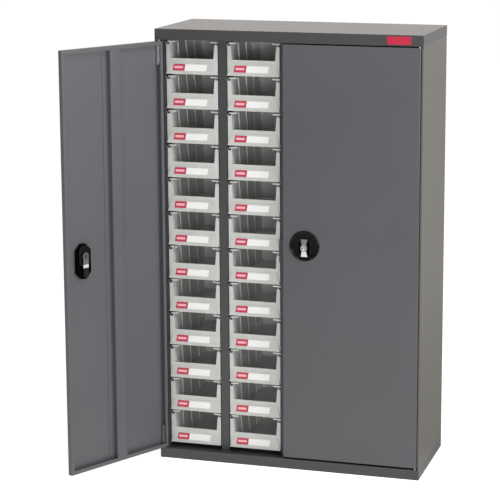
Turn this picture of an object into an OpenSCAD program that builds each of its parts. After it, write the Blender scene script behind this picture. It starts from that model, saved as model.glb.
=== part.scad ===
// Parts bin cabinet: a folded sheet-steel case with two hinged doors in front of four
// columns of clear plastic drawers. Millimetres, +X right, +Y back, +Z up. The origin is on
// the floor, at the middle of the base. The left door stands open, the right one is closed.

/* [Drawers] */
// Width of a drawer over its ears
drawer_w = 115.5; // [100:0.5:140]
// Height of a drawer, from its bottom to its rim
drawer_h = 70; // [66:0.5:72]
// Depth of a drawer, from its ears to its back
drawer_d = 214; // [150:1:260]
// Wall and floor of a drawer
drawer_wall = 2; // [1.4:0.1:2.6]
// Height of the front wall, under the opening
lip_h = 32.5; // [26:0.5:40]
// Height of the ears beside the opening
ear_h = 63.5; // [56:0.5:64]
// From an ear's outer edge to the side wall's inner face, at the top of the ears
ear_top_w = 7; // [6:0.1:9]
// From an ear's outer edge to the side wall's inner face, at the lip
ear_foot_w = 9.3; // [9:0.1:12]
// Thickness of the ears and the front wall
ear_t = 2.5; // [1.8:0.1:3.5]
// How far the ears reach in past the side walls
ear_step = 0.4; // [0.2:0.1:1]
// Thickness of the rim that the drawer hangs by
rim_t = 2.7; // [1.8:0.1:3.2]
// How far the rim stays inside the ears, and behind them
rim_inset = 1; // [0.6:0.1:1.5]
// How far the rim's front end is behind the ears
rim_back = 5.5; // [4:0.5:9]
// Width of the corner tab at the rim's front end
tab_w = 17; // [12:0.5:20]
// Depth of the corner tab
tab_d = 11; // [6:0.5:20]
// Radius of the bead along the lip
lip_bead_r = 1.4; // [0.8:0.1:1.8]
// Height of the label pad's upper edge
pad_top_z = 25; // [20:0.5:26]
// How far the label pad stands out at its lower edge
pad_out = 3.5; // [2:0.1:5]
// How far the label pad stands out at its upper edge
pad_top_out = 0.7; // [0.4:0.1:1.5]
// How much narrower the label pad is at its upper edge, each side
pad_taper = 6; // [3:0.5:10]
// Thickness of a divider rib
rib_t = 1.6; // [1:0.1:2.5]
// How many divider ribs stand on each side wall
ribs = 3; // [1:1:4]

/* [Layout] */
// Distance from one drawer to the next one above it
row_pitch = 75; // [73.5:0.5:90]
// Play between an outer drawer and the open door beside it
drawer_pass = 0.6; // [0.4:0.1:3]
// Between the two columns behind one door
partition_gap = 22; // [16:0.5:40]
// Between the two inner columns
centre_gap = 43; // [40:0.5:60]
// Between a drawer and the post beside it
post_gap = 2; // [1:0.1:3]
// Play between the drawers' label pads and the cams in front of them
pad_play = 1.3; // [0.8:0.1:10]
// Free height under the lowest drawers
drawer_lift = 10; // [4:0.5:30]
// Free height over the top drawers, under the top panel's lip
top_clear = 5; // [3:0.5:30]
// Free depth behind the drawers
back_clear = 7; // [3:0.5:30]

/* [Case] */
// Thickness of the sheet steel
sheet = 1; // [0.8:0.1:1.2]
// Height of the base
base_h = 22; // [18:0.5:60]
// Height of the top panel's fascia
fascia_h = 23; // [20:0.5:50]
// Width of the side panel's front hem
hem_w = 3.5; // [3:0.1:5]
// Depth of the side panel's front hem
hem_d = 12; // [8:0.5:16]
// Width of the side panel's rear flange
rear_flange = 12; // [8:0.5:20]
// How far the top panel stands out at the back
top_overhang = 2; // [0:0.1:5]
// Depth of the flanges along the doors, above and below them
door_flange = 14; // [13:0.5:18]
// Width of the base's lower flanges
foot_flange = 15; // [10:0.5:30]
// Width of the strap across the base
strap_w = 40; // [20:1:80]
// Width of the drawer runner's shelf
runner_w = 5.2; // [4.5:0.1:5.5]
// Height of the drawer runner's web
runner_h = 9; // [6:0.5:14]
// Thickness of the drawer runner
runner_t = 1.2; // [0.8:0.1:1.6]
// Play between a runner and the rim above it
runner_play = 0.3; // [0.2:0.1:1]

/* [Doors] */
// Depth of a door
door_d = 12; // [11:0.5:16]
// Width of the lips around the door's inner side
door_lip = 8.5; // [8:0.5:14]
// Radius of the folds along the door's upright edges
fold_r = 2.5; // [1.5:0.1:3]
// Gap between a door and the side panel
side_play = 1.3; // [1.2:0.1:2.5]
// Gap between the two doors
door_play = 1.5; // [1:0.1:4]
// Gap above the doors
top_play = 3; // [2:0.1:5]
// Gap under the doors
bottom_play = 4.5; // [3:0.1:6]
// How far the doors meet to the left of the middle
meeting_x = 10.2; // [6:0.1:12]
// Width of the hat-shaped stiffener's web
hat_w = 27; // [20:1:50]
// Width of the stiffener's feet
hat_foot = 14; // [8:0.5:16]
// From the stiffener to the lock housing
hat_clear = 47.5; // [2:0.5:50]

/* [Hinges] */
// Radius of a hinge pin
pin_r = 1.6; // [1.2:0.05:1.65]
// Radial clearance of the pin in its bush
pin_play = 0.05; // [0.03:0.01:0.08]
// From the door's hinged edge to the pin
pin_in = 4; // [3.9:0.1:6]
// Play between the open door's face and the side panel's hem
swing_play = 0.4; // [0.3:0.05:0.5]
// Radius of the bush that the pin turns in
bush_r = 2.6; // [2.2:0.05:2.6]
// Length of the bush
bush_h = 12; // [8:0.5:16]
// How far the pin reaches into the bush
pin_reach = 11; // [6:0.5:14]
// Radius of the pin's collar
collar_r = 2.5; // [2:0.1:2.6]
// Play between the collar and the bush
collar_play = 0.3; // [0.2:0.05:0.8]
// Height of the hinge bracket
bracket_h = 42; // [24:1:60]
// From the door's end to the hinge bracket
bracket_off = 8; // [2:0.5:20]
// Width of the hinge bracket
bracket_w = 12; // [10:0.5:30]
// Depth of the hinge bracket
bracket_d = 7; // [5.5:0.1:9]
// Thickness of the hinge bracket
bracket_t = 2; // [1.5:0.1:3]

/* [Handles] */
// Height of the handles' axes above the floor
handle_z = 496; // [400:2:560]
// From the door's free edge to the handle
handle_in = 49; // [46:0.1:60]
// Radius of the dish
dish_r = 33; // [31:0.5:36]
// How far the dish stands out of the door's face
dish_rim = 2.4; // [1.5:0.1:4]
// Width of the dish's rim around its round recess
dish_rim_w = 3.5; // [2:0.1:5]
// Thickness of the dish under its round recess
dish_web = 0.8; // [0.5:0.1:1.2]
// From the handle's axis up to the middle of the dish
dish_up = 4; // [0:0.5:5]
// Width of the dish's body behind the door's face
body_across = 30; // [26:0.5:31]
// Height of the dish's body
body_tall = 46; // [40:0.5:47]
// From the handle's axis down to the middle of the dish's body
body_drop = 1; // [0:0.5:4]
// How much the corners of the dish's body are cut off
body_cut = 9; // [6:0.5:12]
// Wall of the dish's body
dish_wall = 2.5; // [1.5:0.1:4]
// How far the dish reaches behind the door's lips
dish_over = 0.5; // [0:0.1:0.8]
// Thickness of the floor of the dish's body
dish_floor = 3; // [2:0.1:4]
// Play around the dish in the door's hole
dish_play = 0.1; // [0.05:0.05:0.5]
// Width of the lock housing beside the dish's body, behind the door's sheet
lock_side = 3; // [2.5:0.5:7]
// Width of the lock housing above the dish's body
lock_over = 3; // [2.5:0.5:7]
// How far the lock housing reaches down from the dish's body
lock_under = 26; // [23:0.5:34]
// How much more the corners of the lock housing are cut off than those of the dish's body
lock_cut_more = 4; // [0:0.5:4]
// Thickness of the lock housing
lock_t = 9; // [3:0.5:10]
// From the lower end of the lock housing up to its screws
screw_up = 7.5; // [7:0.5:12]
// How far the screws sit off the handle's axis, towards the hinges
screw_shift = 3; // [0:0.5:4]
// From one screw to the other
screw_apart = 11; // [8:0.5:12]
// Length of the T-handle
grip_l = 38; // [30:1:42]
// Width of the T-handle at its ends
grip_w = 14.5; // [12:0.5:18]
// Width of the T-handle at its waist
waist_w = 8; // [6:0.5:12]
// Thickness of the T-handle at its boss
grip_t = 5; // [4.5:0.5:8]
// Thickness of the T-handle at its ends
grip_end_t = 2.8; // [2:0.1:4]
// Play between the T-handle and the dish under it
grip_play = 0.6; // [0.3:0.1:2]
// Radius of the T-handle's boss
boss_r = 7.2; // [6.5:0.1:10]
// How far the boss stands out of the grip
boss_out = 1.5; // [1:0.5:3]
// Radius of the lock cylinder in the boss
core_r = 4.6; // [3.5:0.1:6]
// Depth of the lock cylinder's recess
core_d = 0.8; // [0.4:0.1:1.5]
// Length of the key slot
key_l = 6; // [4:0.5:7]
// Width of the key slot
key_w = 1.6; // [1:0.1:2.5]
// Depth of the key slot
key_d = 4; // [2:0.5:6]
// Radius of the spindle
spindle_r = 4; // [3:0.1:5]
// Radial clearance of the spindle in the dish
spindle_play = 0.05; // [0.03:0.01:0.08]
// Radius of the riveted end of the spindle
rivet_r = 5.5; // [5.2:0.1:6.5]
// Thickness of the riveted end
rivet_t = 1; // [0.5:0.1:1]
// Width of the cam
cam_w = 13; // [10:0.5:14]
// Thickness of the cam
cam_t = 2.5; // [2:0.1:4]
// Radius of the cam's round end
cam_hub_r = 7.5; // [7.5:0.5:10]
// Height of the cam's bent tip
tip_h = 5; // [3:0.5:8]
// How far the cam's bent tip stands back
tip_out = 1; // [1:0.1:3]
// How far the cam reaches behind the keeper
cam_engage = 4.5; // [3:0.5:8]
// Radius of a screw head
screw_r = 2.3; // [1.5:0.1:2.6]
// Height of a screw head
screw_t = 1.4; // [0.8:0.1:2]

/* [Keeper] */
// Thickness of the keeper
keeper_t = 1; // [0.8:0.1:2]
// Gap between the closed doors' lips and the keeper
keeper_gap = 0.3; // [0.3:0.05:1]
// Gap between the keeper and the cams behind it
cam_play = 0.4; // [0.3:0.05:1]
// How much narrower than the free space the keeper is, each side
keeper_inset = 1; // [0.6:0.1:2]
// How far the keeper reaches above the handles
keeper_over = 14; // [11:0.5:20]
// How far the keeper reaches under the handles
keeper_under = 38; // [34:0.5:50]

/* [Badge] */
// Width of the badge
badge_w = 51; // [30:1:80]
// Height of the badge
badge_h = 17; // [10:0.5:18]
// Thickness of the badge
badge_t = 1.2; // [0.8:0.1:3]
// From the case's right side to the badge
badge_in = 26; // [10:1:60]

/* [Hidden] */
ROWS = 12;
SLIDING_COLUMNS = 2;
// How far the left door stands open
LEFT_OPEN = 118;
// How far both doors can open
FULLY_OPEN = 120;
COLUMNS_PER_SIDE = 2;

function two_digits(n) = n < 10 ? str("0", n) : str(n);
function drawer_name(c, r) = str("drawer_", c, "_", two_digits(r));

$fn = 48;
// Overlap that lets a cut pass right through a face
eps = 0.5;

// The hinges: the pin lies as far back as an open door's face clears the hem
pin_back = ((pin_in + side_play) * sin(FULLY_OPEN) - swing_play) / (1 - cos(FULLY_OPEN));
bush_bore_r = pin_r + pin_play;
// How far an open door's inner corner stands beside its pin, towards the drawers
corner_reach = (pin_in - fold_r) * -cos(LEFT_OPEN)
    + (door_d - pin_back - fold_r) * sin(LEFT_OPEN) + fold_r;

// The depths behind a closed door: its lips, the keeper, the cams, the drawers
keeper_y = door_d + keeper_gap;
dish_d = door_d + dish_over;
cam_y = keeper_y + keeper_t + cam_play;
drawer_recess = cam_y + cam_t + max(tip_out, rivet_t) + pad_play + pad_out;

// The case
side_gap = hem_w + side_play + pin_in + corner_reach + drawer_pass;
body_w = 2 * side_gap + 4 * drawer_w + 2 * partition_gap + centre_gap;
row_0_z = base_h + drawer_lift;
drawers_top_z = row_0_z + (ROWS - 1) * row_pitch + drawer_h;
fascia_z = drawers_top_z + top_clear;
body_h = fascia_z + fascia_h;
case_d = drawer_recess + drawer_d + back_clear + sheet;
body_d = case_d + top_overhang;
floor_z = base_h - sheet;
inner_w = body_w - 2 * sheet;
inner_top_z = body_h - sheet;

// The columns, counted from the left
column_pitch = drawer_w + partition_gap;
function column_x(c) =
    let (inner_x = (centre_gap + drawer_w) / 2)
    c <= COLUMNS_PER_SIDE ? -inner_x - (COLUMNS_PER_SIDE - c) * column_pitch
                          : inner_x + (c - COLUMNS_PER_SIDE - 1) * column_pitch;
function row_z(r) = row_0_z + (r - 1) * row_pitch;
post_wall_x = drawer_w / 2 + post_gap;
post_d = drawer_d + back_clear;

// The drawer's side walls lean outwards, in line with the ears' inner edges
lean = (ear_foot_w - ear_top_w) / (ear_h - lip_h);
function inner_half(z) = drawer_w / 2 - ear_top_w - (ear_h - z) * lean;
rim_half = drawer_w / 2 - rim_inset;

// The doors
door_z0 = base_h + bottom_play;
door_h = fascia_z - top_play - door_z0;
hinged_edge_x = body_w / 2 - hem_w - side_play;
left_door_w = hinged_edge_x - meeting_x - door_play / 2;
right_door_w = hinged_edge_x + meeting_x - door_play / 2;
pin_x = hinged_edge_x - pin_in;

// The handles, in a door's own frame
grip_z = handle_z - door_z0;
grip_out = dish_web + grip_play + grip_t;
lock_w = body_across + 2 * lock_side;
lock_h = body_tall + lock_over + lock_under;
lock_drop = body_drop + (lock_under - lock_over) / 2;
lock_cut = body_cut + lock_cut_more;
hat_in = left_door_w - handle_in - lock_w / 2 - hat_clear - hat_foot - hat_w;
keeper_half = centre_gap / 2 - keeper_inset;

// Everything is placed from the case's front plane at the top panel's middle depth
module from_front() { translate([0, -body_d / 2, 0]) children(); }

// A prism along Y with its outline in the XZ plane
module along_y(y0, y1) {
    translate([0, y1, 0]) rotate([90, 0, 0]) linear_extrude(y1 - y0) children();
}

// A prism along X with its outline in the YZ plane
module along_x(x0, x1) {
    translate([x0, 0, 0]) rotate([90, 0, 90]) linear_extrude(x1 - x0) children();
}

module both_sides() {
    children();
    mirror([1, 0, 0]) children();
}

// ---- The case ----

// A bush along Z that a hinge pin turns in
module bush(z0) {
    translate([pin_x, pin_back, z0]) cylinder(r = bush_r, h = bush_h);
}

module bush_bore(z0, h) {
    translate([pin_x, pin_back, z0]) cylinder(r = bush_bore_r, h = h);
}

// A folded ring: four walls with a flange turned in along their lower edge
module folded_ring(d, z0, h, flange, flange_z) {
    difference() {
        translate([-body_w / 2, 0, z0]) cube([body_w, d, h]);
        translate([-inner_w / 2, sheet, z0 - eps]) cube([inner_w, d - 2 * sheet, h + 2 * eps]);
    }
    difference() {
        translate([-body_w / 2, 0, flange_z]) cube([body_w, d, sheet]);
        translate([-body_w / 2 + flange, flange, flange_z - eps])
            cube([body_w - 2 * flange, d - 2 * flange, sheet + 2 * eps]);
    }
}

module base_plinth() {
    color("dimgray") from_front() difference() {
        union() {
            folded_ring(case_d, 0, base_h, foot_flange, 0);
            translate([-strap_w / 2, sheet, 0]) cube([strap_w, case_d - 2 * sheet, sheet]);
            translate([-inner_w / 2, sheet, floor_z])
                cube([inner_w, door_flange - sheet, sheet]);
            both_sides() bush(base_h - bush_h);
        }
        both_sides() bush_bore(base_h - bush_h - eps, bush_h + 2 * eps);
    }
}

module floor_panel() {
    bush_back = pin_back + bush_r + sheet;
    color("dimgray") from_front()
        translate([-inner_w / 2, bush_back, floor_z - sheet])
            cube([inner_w, case_d - sheet - bush_back, sheet]);
}

module top_panel() {
    color("dimgray") from_front() difference() {
        union() {
            difference() {
                translate([-body_w / 2, 0, fascia_z]) cube([body_w, body_d, fascia_h]);
                translate([-inner_w / 2, sheet, fascia_z - eps])
                    cube([inner_w, body_d - 2 * sheet, fascia_h - sheet + eps]);
            }
            translate([-inner_w / 2, sheet, fascia_z])
                cube([inner_w, door_flange - sheet, sheet]);
            both_sides() bush(fascia_z);
        }
        both_sides() bush_bore(fascia_z - eps, bush_h + eps);
    }
}

// The right-hand side panel: a sheet with a boxed hem in front and a flange at the back
module side_panel() {
    half = body_w / 2;
    translate([0, 0, base_h]) linear_extrude(fascia_z - base_h) {
        translate([half - sheet, 0]) square([sheet, case_d]);
        translate([half - hem_w, 0]) square([hem_w, sheet]);
        translate([half - hem_w, 0]) square([sheet, hem_d]);
        translate([half - rear_flange, case_d - sheet]) square([rear_flange, sheet]);
    }
}

module right_side_panel() { color("gray") from_front() side_panel(); }
module left_side_panel() { color("gray") from_front() mirror([1, 0, 0]) side_panel(); }

module back_panel() {
    color("dimgray") from_front()
        translate([-inner_w / 2, case_d - 2 * sheet, base_h])
            cube([inner_w, sheet, fascia_z - base_h]);
}

// An upright channel, open at the back, that stands from the floor panel to the top sheet
module upright(half_w) {
    translate([0, drawer_recess, floor_z]) linear_extrude(inner_top_z - floor_z)
        difference() {
            translate([-half_w, 0]) square([2 * half_w, post_d - sheet]);
            translate([-half_w + sheet, sheet])
                square([2 * (half_w - sheet), post_d - sheet]);
        }
}

module side_post() {
    outer_x = inner_w / 2;
    inner_x = column_x(4) + post_wall_x;
    translate([0, drawer_recess, floor_z]) linear_extrude(inner_top_z - floor_z) {
        translate([inner_x, 0]) square([outer_x - inner_x, sheet]);
        translate([inner_x, 0]) square([sheet, post_d - sheet]);
    }
}

module right_side_post() { color("dimgray") from_front() side_post(); }
module left_side_post() { color("dimgray") from_front() mirror([1, 0, 0]) side_post(); }

module partition() {
    translate([(column_x(3) + column_x(4)) / 2, 0, 0])
        upright(partition_gap / 2 - post_gap);
}

module right_partition() { color("dimgray") from_front() partition(); }
module left_partition() { color("dimgray") from_front() mirror([1, 0, 0]) partition(); }

module centre_post() { color("dimgray") from_front() upright(centre_gap / 2 - post_gap); }

// A channel on the centre post, open at both sides, that the two cams turn into
module keeper() {
    y1 = drawer_recess;
    z0 = handle_z - keeper_under;
    z1 = handle_z + keeper_over;
    color("silver") from_front() along_x(-keeper_half, keeper_half) difference() {
        translate([keeper_y, z0]) square([y1 - keeper_y, z1 - z0]);
        translate([keeper_y + keeper_t, z0 + keeper_t])
            square([y1 - keeper_y, z1 - z0 - 2 * keeper_t]);
    }
}

// One steel angle beside each side of every drawer; the rims hang on their shelves
module runner() {
    shelf_z = drawer_h - rim_t - runner_play;
    y0 = rim_back;
    y1 = drawer_d - drawer_wall;
    translate([post_wall_x - runner_w, y0, shelf_z - runner_t])
        cube([runner_w, y1 - y0, runner_t]);
    translate([post_wall_x - runner_t, y0, shelf_z - runner_h])
        cube([runner_t, y1 - y0, runner_h]);
}

module column_runners(c) {
    color("gray") from_front() for (r = [1:ROWS])
        translate([column_x(c), drawer_recess, row_z(r)]) both_sides() runner();
}

module badge() {
    color("crimson") from_front()
        translate([body_w / 2 - badge_in - badge_w, -badge_t,
                   fascia_z + (fascia_h - badge_h) / 2])
            cube([badge_w, badge_t, badge_h]);
}

// ---- A drawer, in its own frame: the middle of its front bottom edge is the origin ----

// The outline of the drawer's inside, from z0 to z1, grown outwards by `grow`
module inner_outline(z0, z1, grow) {
    polygon([
        [-inner_half(z0) - grow, z0], [inner_half(z0) + grow, z0],
        [inner_half(z1) + grow, z1], [-inner_half(z1) - grow, z1]
    ]);
}

module divider_rib(y) {
    z0 = drawer_wall / 2;
    z1 = ear_h;
    along_y(y - rib_t / 2, y + rib_t / 2) polygon([
        [inner_half(z0) - rib_t, z0], [inner_half(z0) + drawer_wall / 2, z0],
        [inner_half(z1) + drawer_wall / 2, z1], [inner_half(z1) - rib_t, z1]
    ]);
}

module label_pad() {
    bottom_half = drawer_w / 2;
    top_half = bottom_half - pad_taper;
    corner = pad_taper * 0.6;
    intersection() {
        along_y(-pad_out - eps, ear_t / 2) polygon([
            [-bottom_half, 0], [bottom_half, 0], [top_half, pad_top_z - corner],
            [top_half - corner, pad_top_z], [corner - top_half, pad_top_z],
            [-top_half, pad_top_z - corner]
        ]);
        along_x(-bottom_half - eps, bottom_half + eps) polygon([
            [ear_t / 2, 0], [-pad_out, 0], [-pad_out, drawer_wall],
            [-pad_top_out, pad_top_z], [ear_t / 2, pad_top_z]
        ]);
    }
}

module rim() {
    z0 = drawer_h - rim_t;
    inner = inner_half(z0) + drawer_wall / 2;
    both_sides() {
        translate([inner, rim_back, z0])
            cube([rim_half - inner, drawer_d - rim_back, rim_t]);
        translate([rim_half - tab_w, rim_back, z0]) cube([tab_w, tab_d, rim_t]);
    }
}

module drawer() {
    difference() {
        union() {
            along_y(0, drawer_d) inner_outline(0, drawer_h, drawer_wall);
            translate([-drawer_w / 2, 0, 0]) cube([drawer_w, ear_t, ear_h]);
        }
        along_y(ear_t, drawer_d - drawer_wall) inner_outline(drawer_wall, drawer_h + eps, 0);
        along_y(-eps, ear_t + eps) inner_outline(lip_h, drawer_h + eps, -ear_step);
        translate([-drawer_w, -eps, ear_h]) cube([2 * drawer_w, rim_back + eps, drawer_h]);
    }
    both_sides() for (i = [1:ribs]) divider_rib(drawer_d * i / (ribs + 1));
    translate([0, ear_t / 2, lip_h]) rotate([0, 90, 0])
        cylinder(r = lip_bead_r, h = 2 * inner_half(lip_h) + drawer_wall, center = true);
    label_pad();
    rim();
}

module placed_drawer(c, r) {
    color("gainsboro") from_front()
        translate([column_x(c), drawer_recess, row_z(r)]) drawer();
}

module drawer_column(c) { for (r = [1:ROWS]) placed_drawer(c, r); }

// ---- A door, in its own frame: hinged edge at x = 0, face at y = 0, lower end at z = 0 ----

// A block whose four upright edges are rounded
module rounded_block(w, d, h, r) {
    linear_extrude(h) {
        translate([r, 0]) square([w - 2 * r, d]);
        translate([0, r]) square([w, d - 2 * r]);
        for (x = [r, w - r], y = [r, d - r]) translate([x, y]) circle(r);
    }
}

module pin_hole() {
    translate([pin_in, pin_back, -eps]) cylinder(r = pin_r, h = door_h + 2 * eps);
}

// The space inside a door, between its sheets
module pan_space(w) {
    translate([sheet, sheet, sheet])
        rounded_block(w - 2 * sheet, door_d - 2 * sheet, door_h - 2 * sheet, fold_r - sheet);
}

module door_pan(w) {
    difference() {
        rounded_block(w, door_d, door_h, fold_r);
        pan_space(w);
        translate([door_lip, door_d / 2, door_lip])
            cube([w - 2 * door_lip, door_d, door_h - 2 * door_lip]);
        pin_hole();
        at_handle(w) dish_body(-eps, door_d, dish_play);
    }
}

// A hat-shaped rail up the door's inner side
module stiffener() {
    x1 = hat_in + hat_w;
    translate([0, 0, door_lip]) linear_extrude(door_h - 2 * door_lip) {
        translate([hat_in, door_d - sheet]) square([hat_w, sheet]);
        translate([hat_in, sheet]) square([sheet, door_d - sheet]);
        translate([x1 - sheet, sheet]) square([sheet, door_d - sheet]);
        translate([hat_in - hat_foot, sheet]) square([hat_foot + sheet, sheet]);
        translate([x1 - sheet, sheet]) square([hat_foot + sheet, sheet]);
    }
}

// The lower hinge bracket with its pin; the upper one is its mirror image
module hinge_bracket(gap) {
    top_z = bracket_off + bracket_h;
    intersection() {
        pan_space(left_door_w);
        translate([sheet, sheet, bracket_off]) difference() {
            cube([bracket_w, bracket_d, bracket_h]);
            translate([-eps, -eps, bracket_t])
                cube([bracket_w - bracket_t + eps, bracket_d + 2 * eps,
                      bracket_h - 2 * bracket_t]);
        }
    }
    translate([pin_in, pin_back, -gap - pin_reach])
        cylinder(r = pin_r, h = top_z + gap + pin_reach);
    translate([pin_in, pin_back, collar_play - gap])
        cylinder(r = collar_r, h = gap - collar_play);
}

module hinge_brackets() {
    hinge_bracket(bottom_play);
    translate([0, 0, door_h]) mirror([0, 0, 1]) hinge_bracket(top_play);
}

// Places a shape made around the Y axis at the door's handle
module at_handle(w) { translate([w - handle_in, 0, grip_z]) children(); }

// A cylinder along Y, from y0 to y1
module disc(r, y0, y1) {
    translate([0, y0, 0]) rotate([-90, 0, 0]) cylinder(r = r, h = y1 - y0);
}

// An oblong block around the Y axis with its four corners cut off
module oblong(w, h, cut, y0, y1) {
    along_y(y0, y1) polygon([
        [cut - w / 2, -h / 2], [w / 2 - cut, -h / 2], [w / 2, cut - h / 2],
        [w / 2, h / 2 - cut], [w / 2 - cut, h / 2], [cut - w / 2, h / 2],
        [-w / 2, h / 2 - cut], [-w / 2, cut - h / 2]
    ]);
}

// The oblong body of the dish, grown by `grow` on all sides
module dish_body(y0, y1, grow) {
    translate([0, 0, -body_drop])
        oblong(body_across + 2 * grow, body_tall + 2 * grow, body_cut, y0, y1);
}

// A round dish on the door's face, with an oblong pocket that reaches through the door
module dish() {
    difference() {
        union() {
            translate([0, 0, dish_up]) disc(dish_r, -dish_rim, 0);
            dish_body(-dish_web, dish_d, 0);
        }
        translate([0, 0, dish_up]) disc(dish_r - dish_rim_w, -dish_rim - eps, -dish_web);
        dish_body(-dish_rim - eps, dish_d - dish_floor, -dish_wall);
        disc(spindle_r + spindle_play, 0, dish_d + eps);
    }
}

// The housing behind the door's sheet that the dish's body is clamped in
module lock_housing() {
    difference() {
        translate([0, 0, -lock_drop])
            oblong(lock_w, lock_h, lock_cut, sheet, sheet + lock_t);
        dish_body(0, sheet + lock_t + eps, dish_play);
    }
}

// Two screws side by side in the lower end of the lock housing
module housing_screws() {
    for (side = [-1, 1])
        translate([side * screw_apart / 2 - screw_shift, 0, screw_up - lock_drop - lock_h / 2])
            disc(screw_r, sheet + lock_t, sheet + lock_t + screw_t);
}

// The T-handle with its spindle: two flared wings that slope away from a round boss
module t_handle() {
    face_y = -grip_out;
    back_y = face_y + grip_t;
    end_z = grip_l / 2;
    difference() {
        union() {
            intersection() {
                along_y(face_y - eps, back_y) polygon([
                    [-grip_w / 2, end_z], [-waist_w / 2, boss_r / 2],
                    [-waist_w / 2, -boss_r / 2], [-grip_w / 2, -end_z],
                    [grip_w / 2, -end_z], [waist_w / 2, -boss_r / 2],
                    [waist_w / 2, boss_r / 2], [grip_w / 2, end_z]
                ]);
                along_x(-grip_w, grip_w) polygon([
                    [back_y + eps, end_z + eps], [back_y - grip_end_t, end_z + eps],
                    [back_y - grip_end_t, end_z], [face_y, boss_r / 2],
                    [face_y, -boss_r / 2], [back_y - grip_end_t, -end_z],
                    [back_y - grip_end_t, -end_z - eps], [back_y + eps, -end_z - eps]
                ]);
            }
            disc(boss_r, face_y - boss_out, back_y);
            disc(spindle_r, face_y, cam_y + cam_t);
            disc(rivet_r, cam_y + cam_t, cam_y + cam_t + rivet_t);
        }
        disc(core_r, face_y - boss_out - eps, face_y - boss_out + core_d);
        translate([-key_w / 2, face_y - boss_out - eps, -key_l / 2])
            cube([key_w, key_d + eps, key_l]);
    }
}

// The cam hangs down while the handle stands upright
module cam(reach) {
    difference() {
        union() {
            disc(cam_hub_r, cam_y, cam_y + cam_t);
            translate([-cam_w / 2, cam_y, -reach]) cube([cam_w, cam_t, reach]);
            translate([-cam_w / 2, cam_y, -reach]) cube([cam_w, cam_t + tip_out, tip_h]);
        }
        disc(spindle_r, cam_y - eps, cam_y + cam_t + eps);
    }
}

// From the handle's axis to the cam's tip, so that the tip lies behind the keeper
function cam_reach(door_w) =
    abs(door_w - handle_in - hinged_edge_x) - keeper_half + cam_engage;

module in_left_door() {
    from_front() translate([-pin_x, pin_back, door_z0]) rotate([0, 0, -LEFT_OPEN])
        translate([-pin_in, -pin_back, 0]) children();
}

module in_right_door() {
    from_front() translate([pin_x, pin_back, door_z0]) mirror([1, 0, 0])
        translate([-pin_in, -pin_back, 0]) children();
}

module left_door() { color("dimgray") in_left_door() door_pan(left_door_w); }
module left_stiffener() { color("gray") in_left_door() stiffener(); }
module left_hinge_brackets() { color("silver") in_left_door() hinge_brackets(); }
module left_handle_cup() { color("black") in_left_door() at_handle(left_door_w) dish(); }
module left_lock_housing() {
    color("black") in_left_door() at_handle(left_door_w) lock_housing();
}
module left_lock_screws() {
    color("silver") in_left_door() at_handle(left_door_w) housing_screws();
}
module left_handle() { color("silver") in_left_door() at_handle(left_door_w) t_handle(); }
module left_cam() {
    color("gray") in_left_door() at_handle(left_door_w) cam(cam_reach(left_door_w));
}

module right_door() { color("dimgray") in_right_door() door_pan(right_door_w); }
module right_stiffener() { color("gray") in_right_door() stiffener(); }
module right_hinge_brackets() { color("silver") in_right_door() hinge_brackets(); }
module right_handle_cup() {
    color("black") in_right_door() at_handle(right_door_w) dish();
}
module right_lock_housing() {
    color("black") in_right_door() at_handle(right_door_w) lock_housing();
}
module right_lock_screws() {
    color("silver") in_right_door() at_handle(right_door_w) housing_screws();
}
module right_handle() {
    color("silver") in_right_door() at_handle(right_door_w) t_handle();
}
module right_cam() {
    color("gray") in_right_door() at_handle(right_door_w) cam(cam_reach(right_door_w));
}

base_plinth();
floor_panel();
top_panel();
left_side_panel();
right_side_panel();
back_panel();
left_side_post();
right_side_post();
left_partition();
right_partition();
centre_post();
keeper();
for (c = [1:2 * COLUMNS_PER_SIDE])
    column_runners(c);
badge();
left_door();
left_stiffener();
left_hinge_brackets();
left_handle_cup();
left_lock_housing();
left_lock_screws();
left_handle();
left_cam();
right_door();
right_stiffener();
right_hinge_brackets();
right_handle_cup();
right_lock_housing();
right_lock_screws();
right_handle();
right_cam();
for (c = [1:SLIDING_COLUMNS], r = [1:ROWS])
    placed_drawer(c, r);
drawer_column(3);  // drawers_column_3
drawer_column(4);  // drawers_column_4
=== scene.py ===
# A parts bin cabinet: a folded sheet-steel case with two hinged doors in front of four
# columns of plastic drawers. The left door stands open and the right one is closed.
import math

import bmesh
import bpy
from mathutils import Matrix, Vector


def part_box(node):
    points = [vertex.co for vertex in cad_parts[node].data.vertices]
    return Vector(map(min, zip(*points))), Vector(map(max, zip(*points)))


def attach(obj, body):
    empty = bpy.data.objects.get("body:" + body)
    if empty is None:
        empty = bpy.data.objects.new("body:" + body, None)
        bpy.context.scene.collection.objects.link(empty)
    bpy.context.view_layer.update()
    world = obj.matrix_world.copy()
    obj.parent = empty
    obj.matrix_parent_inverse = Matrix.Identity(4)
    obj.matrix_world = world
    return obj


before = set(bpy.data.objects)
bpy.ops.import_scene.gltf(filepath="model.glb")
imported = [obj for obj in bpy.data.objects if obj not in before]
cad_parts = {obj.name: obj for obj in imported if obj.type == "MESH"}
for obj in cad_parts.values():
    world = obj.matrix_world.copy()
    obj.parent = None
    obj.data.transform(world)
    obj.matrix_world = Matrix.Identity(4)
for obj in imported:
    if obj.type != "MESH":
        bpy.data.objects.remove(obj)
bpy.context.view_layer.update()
MM = 0.001

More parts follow.
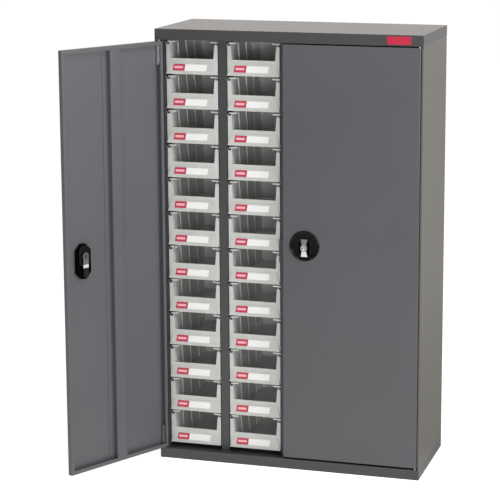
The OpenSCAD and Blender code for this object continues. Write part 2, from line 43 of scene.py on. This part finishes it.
# ---- Camera ----
# A studio camera on a stand, a little above the cabinet and well to its right, looking
# slightly down. The frame is square, and the lens is shifted a tenth of it each way.
camera_at = Vector((1.0589, -3.7835, 1.3210))
yaw, pitch, roll = (math.radians(angle) for angle in (15.707, 10.747, -0.032))
frame_px, focal_px, sensor_width = 500, 1824.1, 36
forward = Vector((-math.sin(yaw) * math.cos(pitch), math.cos(yaw) * math.cos(pitch),
                  -math.sin(pitch)))
level = Vector((math.cos(yaw), math.sin(yaw), 0))
upright = level.cross(forward)
right = math.cos(roll) * level + math.sin(roll) * upright
up = math.cos(roll) * upright - math.sin(roll) * level
camera = bpy.data.objects.new("camera", bpy.data.cameras.new("camera"))
camera.data.sensor_width = sensor_width
camera.data.lens = focal_px * sensor_width / frame_px
camera.data.shift_x = -0.1
camera.data.shift_y = -0.1
camera.matrix_world = Matrix.Translation(camera_at) @ Matrix(
    (right, up, -forward)).transposed().to_4x4()
bpy.context.scene.collection.objects.link(camera)
bpy.context.scene.camera = camera
bpy.context.scene.view_settings.view_transform = "Standard"


# ---- Studio ----
# A white cyclorama: a plain pale floor and a white surround, which turns dark on the side
# that the camera stands on. One softbox hangs high up at the right, one stands low beside
# the camera, and one faces the cabinet's right side.
def linear(colour):
    """The linear RGBA of an sRGB hex colour such as '#b04a3c'."""
    parts = [int(colour[i:i + 2], 16) / 255 for i in (1, 3, 5)]
    return [c / 12.92 if c <= 0.04045 else ((c + 0.055) / 1.055) ** 2.4
            for c in parts] + [1.0]


def blank(material):
    """Empties a new material, or the world, of its nodes."""
    material.use_nodes = True
    material.node_tree.nodes.clear()
    return material


def add(material, kind, links=(), **settings):
    """Adds a node: links feed its inputs, and settings set its properties or inputs."""
    node = material.node_tree.nodes.new("ShaderNode" + kind)
    for name, value in settings.items():
        if hasattr(node, name):
            setattr(node, name, value)
        else:
            node.inputs[name.replace("_", " ")].default_value = value
    for name, source in dict(links).items():
        material.node_tree.links.new(source, node.inputs[name])
    return node


world = blank(bpy.data.worlds.new("white_surround"))
bpy.context.scene.world = world
toward = add(world, "SeparateXYZ", {0: add(world, "TexCoord").outputs["Generated"]})
behind = add(world, "MapRange", {"Value": toward.outputs["Y"]},
             interpolation_type="SMOOTHSTEP", From_Min=-0.5, From_Max=0.1, To_Min=0.26)
# The mirrored white falls off a little from the left to the right
across = add(world, "MapRange", {"Value": toward.outputs["X"]},
             interpolation_type="SMOOTHSTEP", From_Min=-0.36, From_Max=-0.16,
             To_Min=1.0, To_Max=0.94)
backdrop = add(world, "Math", {0: behind.outputs["Result"], 1: across.outputs["Result"]},
               operation="MULTIPLY")
ray = add(world, "LightPath")
shown = add(world, "Math", {0: ray.outputs["Is Camera Ray"],
                            1: ray.outputs["Is Transmission Ray"]}, operation="MAXIMUM")
soft = add(world, "Background", Color=linear("#ffffff"), Strength=0.25)
mirrored = add(world, "Background", {"Strength": backdrop.outputs[0]},
               Color=linear("#fffaf6"))
white = add(world, "Background", Color=linear("#ffffff"), Strength=1.0)
seen = add(world, "MixShader", {0: ray.outputs["Is Glossy Ray"], 1: soft.outputs[0],
                                2: mirrored.outputs[0]})
surround = add(world, "MixShader", {0: shown.outputs[0], 1: seen.outputs[0],
                                    2: white.outputs[0]})
add(world, "OutputWorld", {"Surface": surround.outputs[0]})

# Each softbox: where it is, what it faces, its width and height in metres, and its watts
for name, place, aim, size, watts in (
        ("softbox_above", (1.2, -1.2, 2.8), (0, 0, 0.7), (1.3, 1.1), 24),
        ("softbox_front", (0.95, -3.6, 0.85), (0, 0, 0.4), (1.0, 1.0), 34),
        ("softbox_right", (2.7, -0.7, 1.3), (0, 0, 0.6), (1.0, 1.2), 44)):
    lamp = bpy.data.objects.new(name, bpy.data.lights.new(name, "AREA"))
    lamp.data.shape = "RECTANGLE"
    lamp.data.size, lamp.data.size_y = size
    lamp.data.energy = watts
    lamp.location = place
    lamp.rotation_euler = (Vector(aim) - Vector(place)).to_track_quat("-Z", "Y").to_euler()
    bpy.context.scene.collection.objects.link(lamp)

# The floor keeps the cabinet's soft shadow and is otherwise as white as the surround. In
# reflections it shows a painted tone: nearly white in front, a painted shadow of the
# cabinet that dims it from its foot to the back, and a fade towards the dark side.
floor_half, fade_from, fade_to = 30, -3.0, 3.0
floor_paint = blank(bpy.data.materials.new("white_studio_floor"))
ray = add(floor_paint, "LightPath")
matt = add(floor_paint, "BsdfDiffuse", Color=linear("#e6e6e6"))
glow = add(floor_paint, "Emission", Color=linear("#ffffff"), Strength=0.82)
bounce = add(floor_paint, "Emission", Color=linear("#ffffff"), Strength=0.7)
lit = add(floor_paint, "AddShader", {0: matt.outputs[0], 1: glow.outputs[0]})
luminous = add(floor_paint, "AddShader", {0: matt.outputs[0], 1: bounce.outputs[0]})
seen = add(floor_paint, "MixShader", {0: ray.outputs["Is Camera Ray"],
                                      1: luminous.outputs[0], 2: lit.outputs[0]})
spot = add(floor_paint, "SeparateXYZ", {0: add(floor_paint, "NewGeometry").outputs[0]})
reach = add(floor_paint, "MapRange", {"Value": spot.outputs["Y"]},
            From_Min=fade_from, From_Max=fade_to)
painted_floor_reflection = add(floor_paint, "ValToRGB", {"Fac": reach.outputs["Result"]})
painted_floor_reflection.color_ramp.elements[0].color = linear("#6c6a68")
painted_floor_reflection.color_ramp.elements[1].color = linear("#c2bfbb")
# These stops paint the floor's reflection: white in front, then a painted shadow at the
# foot
for y, tone in ((-1.0, "#efece8"), (-0.3, "#efece8"), (0.1, "#9c9995"), (2.0, "#c2bfbb")):
    stop = painted_floor_reflection.color_ramp.elements.new((y - fade_from) / (fade_to - fade_from))
    stop.color = linear(tone)
mirrored = add(floor_paint, "Emission", {"Color": painted_floor_reflection.outputs["Color"]}, Strength=1.0)
floor_mix = add(floor_paint, "MixShader", {0: ray.outputs["Is Glossy Ray"],
                                           1: seen.outputs[0], 2: mirrored.outputs[0]})
add(floor_paint, "OutputMaterial", {"Surface": floor_mix.outputs[0]})
sheet = bpy.data.meshes.new("studio_floor")
sheet.from_pydata([(-floor_half, -floor_half, 0), (floor_half, -floor_half, 0),
                   (floor_half, floor_half, 0), (-floor_half, floor_half, 0)], [],
                  [(0, 1, 2, 3)])
sheet.materials.append(floor_paint)
floor = bpy.data.objects.new("studio_floor", sheet)
bpy.context.scene.collection.objects.link(floor)


# ---- Case ----
# Folded and spot-welded sheet steel: base, floor, side panels, back, posts and a top with a
# deep front edge. Powder coated, which leaves a faint orange peel and softened folds.
def powder_coat(name, colour, rough):
    """Baked polyester powder on steel: satin, with a 1.6 mm orange peel in its gloss."""
    coat = blank(bpy.data.materials.new(name))
    place = add(coat, "TexCoord").outputs["Object"]
    # Broad, faint differences in film thickness, about 180 mm across
    cloud = add(coat, "TexNoise", {"Vector": place}, Scale=1 / (180 * MM), Detail=2.0)
    tint = add(coat, "ValToRGB", {"Fac": cloud.outputs["Fac"]})
    tint.color_ramp.elements[0].position = 0.3
    tint.color_ramp.elements[0].color = linear(colour)
    tint.color_ramp.elements[1].position = 0.7
    tint.color_ramp.elements[1].color = [min(1, c * 1.07) for c in linear(colour)]
    # Orange peel, 1.6 mm across and a few hundredths of a millimetre deep
    peel = add(coat, "TexNoise", {"Vector": place}, Scale=1 / (1.6 * MM), Detail=1.0)
    bump = add(coat, "Bump", {"Height": peel.outputs["Fac"]}, Strength=0.25,
               Distance=0.03 * MM)
    skin = add(coat, "BsdfPrincipled", {"Base Color": tint.outputs["Color"],
                                        "Normal": bump.outputs["Normal"]},
               Roughness=rough, IOR=1.5)
    add(coat, "OutputMaterial", {"Surface": skin.outputs[0]})
    return coat


def finish_node(name, material, edge=0.0):
    """Gives a CAD node its material and softens its folds with a small bevel, in mm."""
    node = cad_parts[name]
    node.data.materials.clear()
    node.data.materials.append(material)
    if edge:
        weld = node.modifiers.new("joined_faces", "WELD")
        weld.merge_threshold = 0.01 * MM
        bevel = node.modifiers.new("soft_edges", "BEVEL")
        bevel.width = edge * MM
        bevel.segments = 2
        bevel.limit_method = "ANGLE"
        bevel.angle_limit = math.radians(40)
        node.modifiers.new("flat_faces", "WEIGHTED_NORMAL").weight = 100


fold_edge = 0.4
# A darker copy of the doors' charcoal paint: painted shade, for the top's deep front edge
case_coat_painted_darker = powder_coat("charcoal_powder_coat", "#444446", 0.27)
# A warmer, lighter copy of the same paint: the lighter tone is painted light from the right
side_coat_painted_lighter = powder_coat("grey_powder_coat", "#575551", 0.34)
for name in ("base_plinth", "floor_panel", "top_panel", "back_panel", "left_side_post",
             "right_side_post", "left_partition", "right_partition", "centre_post",
             "keeper"):
    finish_node(name, case_coat_painted_darker, fold_edge)
for name in ("left_side_panel", "right_side_panel"):
    finish_node(name, side_coat_painted_lighter, fold_edge)

# ---- Doors ----
# Two pans folded from one sheet each, with lips turned in around the back and a hat-shaped
# rail welded up the inside. Both carry the same dark powder coat.
door_coat = powder_coat("dark_grey_powder_coat", "#525356", 0.34)
for name in ("left_door", "right_door", "left_stiffener", "right_stiffener"):
    finish_node(name, door_coat, fold_edge)


# ---- Hinges, screws and runners ----
# Pressed steel hinge brackets with their pins, the screws of the lock housings, and the
# folded runners under the drawers. All are zinc plated: dull grey with a soft blue shine.
def plated_steel(name, colour, rough):
    """Zinc or chrome plate on steel, with a faint grain of 0.8 mm in its gloss."""
    plate = blank(bpy.data.materials.new(name))
    place = add(plate, "TexCoord").outputs["Object"]
    grain = add(plate, "TexNoise", {"Vector": place}, Scale=1 / (0.8 * MM), Detail=2.0)
    gloss = add(plate, "MapRange", {"Value": grain.outputs["Fac"]},
                To_Min=rough * 0.8, To_Max=rough * 1.2)
    skin = add(plate, "BsdfPrincipled", {"Roughness": gloss.outputs["Result"]},
               Base_Color=linear(colour), Metallic=1.0)
    add(plate, "OutputMaterial", {"Surface": skin.outputs[0]})
    return plate


zinc = plated_steel("zinc_plated_steel", "#b4b6b8", 0.38)
for name in ("left_hinge_brackets", "right_hinge_brackets", "left_lock_screws",
             "right_lock_screws"):
    finish_node(name, zinc, 0.25)
for column in (1, 2, 3, 4):
    finish_node(f"runners_column_{column}", zinc)

# ---- Handles ----
# A chromed zinc T-handle with a lock cylinder in its boss, in a round black dish. Behind
# the door a black housing clamps the dish, and the spindle carries the cam.
door_turned = {"left": math.radians(-118), "right": 0}


def plated_handle(side):
    """Chrome, except for the spindle's riveted end behind the cam, which is blacked."""
    chrome = plated_steel(f"{side}_chromed_zinc", "#eeeff0", 0.10)
    turned = door_turned[side]
    inward = Vector((-math.sin(turned), math.cos(turned), 0))
    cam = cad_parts[f"{side}_cam"]
    cam_face = min(inward.dot(cam.matrix_world @ v.co) for v in cam.data.vertices)
    place = add(chrome, "TexCoord").outputs["Object"]
    along = add(chrome, "VectorMath", {0: place}, operation="DOT_PRODUCT")
    along.inputs[1].default_value = inward
    behind_cam = add(chrome, "Math", {0: along.outputs["Value"]},
                     operation="GREATER_THAN")
    behind_cam.inputs[1].default_value = cam_face - 1 * MM
    blacked = add(chrome, "BsdfPrincipled", Base_Color=linear("#3a3b3d"), Roughness=0.5)
    out = next(node for node in chrome.node_tree.nodes
               if node.bl_idname == "ShaderNodeOutputMaterial")
    bright = out.inputs["Surface"].links[0].from_socket
    ends = add(chrome, "MixShader", {0: behind_cam.outputs[0], 1: bright,
                                     2: blacked.outputs[0]})
    chrome.node_tree.links.new(ends.outputs[0], out.inputs["Surface"])
    return chrome


def moulded(name, colour, rough, grit, index=1.49):
    """Moulded plastic: smooth, with a fine spark-eroded texture of `grit` mm."""
    plastic = blank(bpy.data.materials.new(name))
    place = add(plastic, "TexCoord").outputs["Object"]
    texture = add(plastic, "TexNoise", {"Vector": place}, Scale=1 / (grit * MM), Detail=1.0)
    # A glossier mould has a shallower texture
    bump = add(plastic, "Bump", {"Height": texture.outputs["Fac"]}, Strength=0.3,
               Distance=0.02 * MM * min(1, rough / 0.3))
    skin = add(plastic, "BsdfPrincipled", {"Normal": bump.outputs["Normal"]},
               Base_Color=linear(colour), Roughness=rough, IOR=index)
    add(plastic, "OutputMaterial", {"Surface": skin.outputs[0]})
    return plastic


# Black ABS: the dish is polished, the housing is matt and hardly shines
polished_black = moulded("polished_black_abs", "#030304", 0.12, 0.9, index=1.4)
black = moulded("black_abs", "#050506", 0.5, 0.9, index=1.07)
for side in ("left", "right"):
    finish_node(f"{side}_handle", plated_handle(side), 0.6)
    finish_node(f"{side}_handle_cup", polished_black, 1.0)
    finish_node(f"{side}_lock_housing", black, 0.5)

# ---- Cams ----
# Stamped steel tongues on the spindles, phosphated a dull grey. From 18 mm under the
# spindle down a painted highlight makes them bright, and from 25 mm down the tips are
# near-black.
spindle_z, painted_highlight_below, near_black_below = 496, 18, 25
zone_low, zone_high = spindle_z - 50, spindle_z + 10
tongue = blank(bpy.data.materials.new("phosphated_steel_with_painted_highlight_and_black_tip"))
place = add(tongue, "TexCoord").outputs["Object"]
height = add(tongue, "SeparateXYZ", {0: place})
zone = add(tongue, "MapRange", {"Value": height.outputs["Z"]},
           From_Min=zone_low * MM, From_Max=zone_high * MM)
tone = add(tongue, "ValToRGB", {"Fac": zone.outputs["Result"]})
tone.color_ramp.interpolation = "CONSTANT"
near_black_top, painted_highlight_top = ((spindle_z - below - zone_low) / (zone_high - zone_low)
                    for below in (near_black_below, painted_highlight_below))
# From the tip up: near-black, then a bright band that is a painted highlight, then the grey
tone.color_ramp.elements[0].color = linear("#060607")
tone.color_ramp.elements[1].position = near_black_top
tone.color_ramp.elements[1].color = linear("#c4c2be")
tone.color_ramp.elements.new(painted_highlight_top).color = linear("#606266")
# Phosphate crystals, far finer in fact, drawn 0.6 mm across so that they show
crystal = add(tongue, "TexNoise", {"Vector": place}, Scale=1 / (0.6 * MM), Detail=2.0)
bump = add(tongue, "Bump", {"Height": crystal.outputs["Fac"]}, Strength=0.3,
           Distance=0.02 * MM)
skin = add(tongue, "BsdfPrincipled", {"Base Color": tone.outputs["Color"],
                                      "Normal": bump.outputs["Normal"]},
           Roughness=0.4, IOR=1.4)
add(tongue, "OutputMaterial", {"Surface": skin.outputs[0]})
for name in ("left_cam", "right_cam"):
    finish_node(name, tongue, 0.3)

# ---- Badge ----
# A plain plate at the right end of the top panel's front edge, enamelled an even red. The
# enamel flows out smooth and shines softly, with a slight ripple 1.2 mm across.
red = moulded("red_enamel", "#b8203f", 0.3, 1.2)
finish_node("badge", red, 0.3)

# ---- Drawers ----
# Injection-moulded drawers in clear styrene. Their walls are polished and let the dark
# case show through a slight haze; the front is spark-eroded, which makes it milky.
case_front_y, drawers_set_back, clear_from = -123, 22, 2.6
clear_y = (case_front_y + drawers_set_back + clear_from) * MM
styrene = blank(bpy.data.materials.new("clear_styrene"))
place = add(styrene, "TexCoord").outputs["Object"]
depth = add(styrene, "SeparateXYZ", {0: place})
# 0 in the milky front and 1 in the clear walls, which start 2.6 mm behind its face
wall = add(styrene, "MapRange", {"Value": depth.outputs["Y"]},
           From_Min=clear_y - 0.3 * MM, From_Max=clear_y)
# Flow marks of the moulding, about 22 mm across
flow = add(styrene, "TexNoise", {"Vector": place}, Scale=1 / (22 * MM), Detail=2.0)
clearer = add(styrene, "Math", {0: flow.outputs["Fac"], 2: wall.outputs["Result"]},
              operation="MULTIPLY_ADD")
clearer.inputs[1].default_value = 0.3
tone = add(styrene, "ValToRGB", {"Fac": clearer.outputs[0]})
tone.color_ramp.elements[0].position = 0.1
tone.color_ramp.elements[0].color = linear("#c5c6c1")
tone.color_ramp.elements[1].color = linear("#dcddda")
tone.color_ramp.elements.new(0.25).color = linear("#d0d1cd")
haze = add(styrene, "MapRange", {"Value": wall.outputs["Result"]},
           To_Min=0.08, To_Max=0.06)
gloss = add(styrene, "MapRange", {"Value": wall.outputs["Result"]},
            To_Min=0.42, To_Max=0.14)
skin = add(styrene, "BsdfPrincipled", {"Base Color": tone.outputs["Color"],
                                       "Roughness": gloss.outputs["Result"],
                                       "Transmission Weight": haze.outputs["Result"]},
           IOR=1.57)
add(styrene, "OutputMaterial", {"Surface": skin.outputs[0]})
drawer_nodes = [f"drawer_{c}_{r:02d}" for c in (1, 2) for r in range(1, 13)]
for name in drawer_nodes + ["drawers_column_3", "drawers_column_4"]:
    finish_node(name, styrene, 0.5)

# ---- Labels ----
# On each drawer's sloping pad sit a red plastic tag and a white paper card beside it, both
# cut on a slant. The tag has a plain lighter field in its middle.
row_pitch, half_width = 75 * MM, 57.75 * MM
pad_out, pad_top_out, pad_foot, pad_top = 3.5, 0.7, 2, 25
pad_low, pad_high = (Vector((0, -out, z)) * MM
                     for out, z in ((pad_out, pad_foot), (pad_top_out, pad_top)))
slope = (pad_high - pad_low).normalized()
outward = Vector((0, -slope.z, slope.y))
let_in = 0.1


def slip(name, x0, x1, z0, z1, thick, lean, material, corner):
    """A thin slanted slip on the pad: x from the drawer's left side, z up the slope, mm."""
    shape = bmesh.new()
    corners = [(x0, z0), (x1, z0), (x1 + lean, z1), (x0 + lean, z1)]
    layers = []
    for lift in (-let_in * MM, thick * MM):
        layers.append([shape.verts.new(
            pad_low + Vector((x * MM - half_width, 0, 0))
            + slope * ((z - pad_foot) * MM) + outward * lift) for x, z in corners])
    low, top = layers
    shape.faces.new(low[::-1])
    shape.faces.new(top)
    for i in range(4):
        shape.faces.new((low[i], low[(i + 1) % 4], top[(i + 1) % 4], top[i]))
    bmesh.ops.recalc_face_normals(shape, faces=shape.faces)
    upright_edges = [e for e in shape.edges
                     if (e.verts[0] in low) != (e.verts[1] in low)]
    bmesh.ops.bevel(shape, geom=upright_edges, offset=corner * MM, segments=4,
                    affect="EDGES", profile=0.5)
    mesh = bpy.data.meshes.new(name)
    shape.to_mesh(mesh)
    shape.free()
    mesh.materials.append(material)
    return mesh


tag_red = moulded("red_styrene", "#bc3a52", 0.35, 0.8)
tag_field = moulded("pink_styrene", "#f0b4bc", 0.4, 0.8)
# Uncoated card: matt white, with paper fibres drawn 0.7 mm across so that they show
paper = blank(bpy.data.materials.new("white_label_card"))
place = add(paper, "TexCoord").outputs["Object"]
fibre = add(paper, "TexNoise", {"Vector": place}, Scale=1 / (0.7 * MM), Detail=3.0)
bump = add(paper, "Bump", {"Height": fibre.outputs["Fac"]}, Strength=0.2,
           Distance=0.02 * MM)
skin = add(paper, "BsdfPrincipled", {"Normal": bump.outputs["Normal"]},
           Base_Color=linear("#ededeb"), Roughness=0.75, IOR=1.5)
add(paper, "OutputMaterial", {"Surface": skin.outputs[0]})

# Each slip: left, right, foot and head on the pad, thickness, slant, and corner cut
slips = (("tag", slip("tag", 15, 41.5, 7.4, 21.9, 0.6, 1.8, tag_red, 0.8)),
         ("field", slip("field", 18.5, 38, 12.4, 17.4, 0.75, 0.7, tag_field, 0.4)),
         ("card", slip("card", 41.7, 90.5, 7.6, 21.4, 0.3, 1.8, paper, 0.4)))
for column in (1, 2, 3, 4):
    for row in range(1, 13):
        if column < 3:
            low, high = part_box(f"drawer_{column}_{row:02d}")
            body, base_z = f"drawer_{column}_{row:02d}_body", low.z
        else:
            low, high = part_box(f"drawers_column_{column}")
            body, base_z = "case", low.z + (row - 1) * row_pitch
        for kind, mesh in slips:
            piece = bpy.data.objects.new(f"{kind}_{column}_{row:02d}", mesh)
            piece.location = ((low.x + high.x) / 2, low.y + pad_out * MM, base_z)
            bpy.context.scene.collection.objects.link(piece)
            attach(piece, body)
